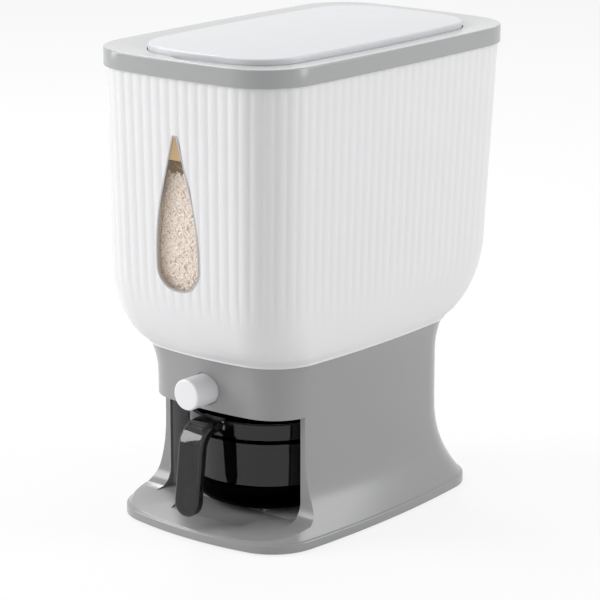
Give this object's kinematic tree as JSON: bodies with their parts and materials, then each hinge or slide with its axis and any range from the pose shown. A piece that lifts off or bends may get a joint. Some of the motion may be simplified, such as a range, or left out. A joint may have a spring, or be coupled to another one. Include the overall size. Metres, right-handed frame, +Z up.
{
  "type": "rice dispenser with drawer",
  "caption": "Free-standing rice dispenser: reeded hopper with sight window and hinged lid on a flared base, push-button gate and a pull-out smoke cup.",
  "frame": {"origin": "on the floor under the middle of the lid frame", "axes": "+Z up, -Y out of the front with the button and the cup, +X to the right seen from the front"},
  "size_m": [0.2, 0.32, 0.385],
  "materials": {
    "lid_white": "smooth semi-gloss",
    "frame_grey": "smooth satin",
    "hopper_white": "satin, reeded outside",
    "base_grey": "smooth satin",
    "button_white": "smooth semi-gloss",
    "inner_white": "moulded satin",
    "under_grey": "fine grain",
    "window_clear": "clear polished plastic",
    "smoke_clear": "dark smoke clear polished plastic",
    "soft_seal": "matte elastomer",
    "foot_rubber": "matte",
    "steel": "drawn and turned steel"
  },
  "bodies": {
    "base": {"base_shell": "base_grey", "bay_liner": "base_grey", "bottom_plate": "under_grey", "bottom_screws": "steel", "rubber_feet": "foot_rubber", "button_guide": "inner_white", "gate_housing": "inner_white", "gate_cover": "inner_white", "chute_seal": "soft_seal", "housing_screws": "steel", "return_spring": "steel", "spring_guide": "steel", "hopper_shell": "hopper_white", "window_seal": "soft_seal", "window_lens": "window_clear", "hopper_funnel": "inner_white", "hopper_screws": "steel", "lid_frame": "frame_grey", "lid_seal": "soft_seal", "lid_hinge_pins": "steel"},
    "lid": {"lid_panel": "lid_white"},
    "button": {"button_cap": "button_white", "push_rod": "inner_white", "rod_pin": "steel", "gate_plate": "inner_white"},
    "cup": {"cup_body": "smoke_clear", "cup_handle": "smoke_clear"}
  },
  "joints": [
    {"name": "lid_hinge", "type": "hinge", "parent": "base", "child": "lid", "pos_m": [0, 0.146, 0.376], "axis": [-1, 0, 0], "range_deg": [0, 92]},
    {"name": "button_slide", "type": "slide", "parent": "base", "child": "button", "axis": [0, 1, 0], "range_m": [0, 0.017], "stiffness_N_per_m": 350, "springref_m": -0.006, "deforming": ["return_spring"]},
    {"name": "cup_pull", "type": "slide", "parent": "base", "child": "cup", "axis": [0, -1, 0], "range_m": [0, 0.19]}
  ]
}
